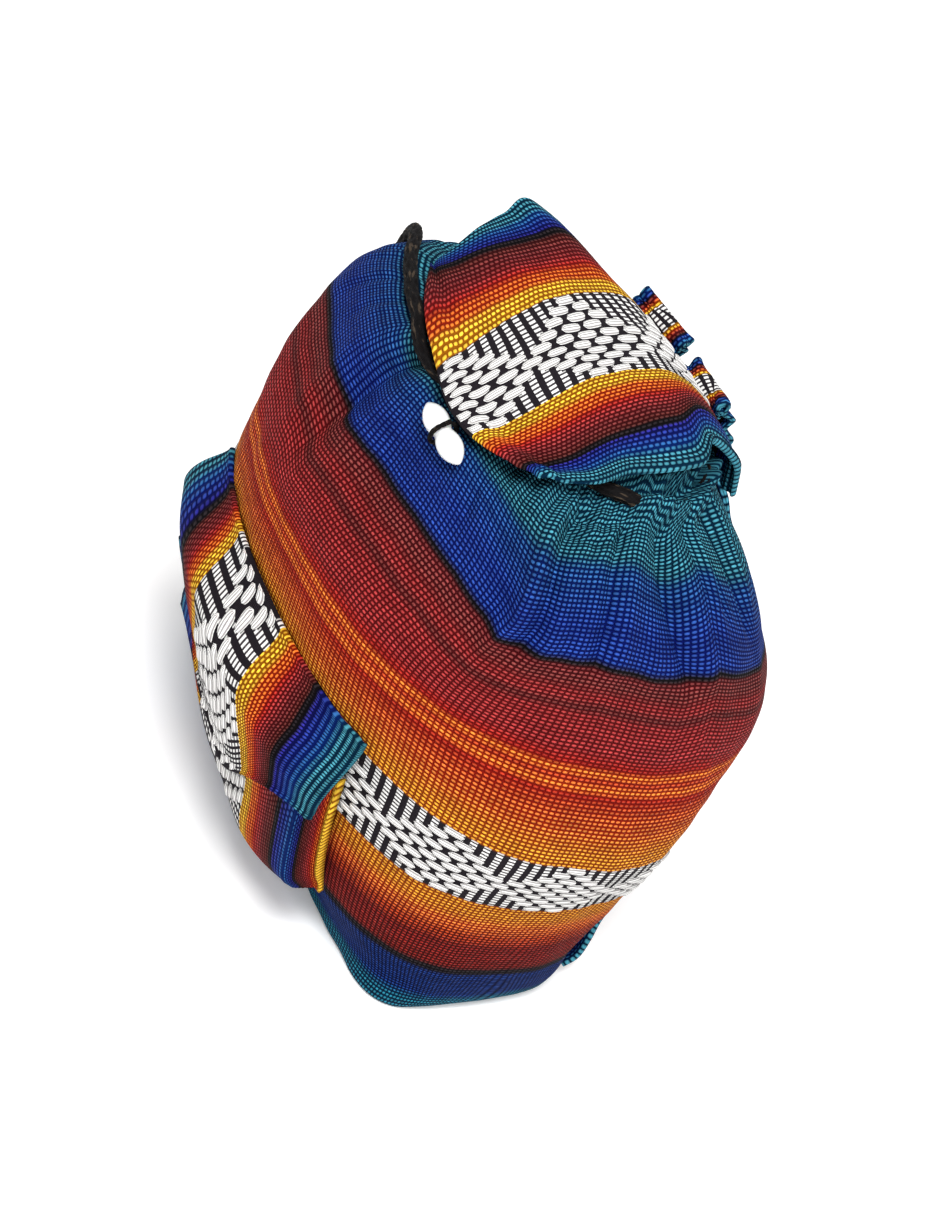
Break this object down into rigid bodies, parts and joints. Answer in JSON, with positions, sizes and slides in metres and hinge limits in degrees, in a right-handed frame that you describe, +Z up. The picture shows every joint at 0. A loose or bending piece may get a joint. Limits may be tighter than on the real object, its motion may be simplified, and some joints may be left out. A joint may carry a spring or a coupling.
{
  "type": "striped cloth drawstring backpack",
  "caption": "Small woven cloth backpack: a hollow sack with a gathered mouth, arched flap with toggle, box pocket with its own flap, shoulder straps and a drawcord.",
  "frame": {"origin": "under the middle of the base, on the plane the bag stands on", "axes": "+Z up through the mouth, -Y towards the front with the pocket, +X towards the side the picture shows nearest"},
  "size_m": [0.2188, 0.1937, 0.2192],
  "materials": {
    "striped_cloth": "coarse striped plain weave with floats, matte with a little sheen",
    "white_plastic": "smooth, semi-gloss",
    "black_cord": "braided, low sheen"
  },
  "bodies": {
    "root": {"sack": "striped_cloth", "base_panel": "striped_cloth", "flap": "striped_cloth", "pocket": "striped_cloth", "pocket_flap": "striped_cloth", "strap_near": "striped_cloth", "strap_far": "striped_cloth", "toggle": "white_plastic", "toggle_loop": "black_cord", "drawcord_ring": "black_cord", "drawcord_tail": "black_cord", "cord_end_knot": "black_cord"}
  },
  "joints": []
}
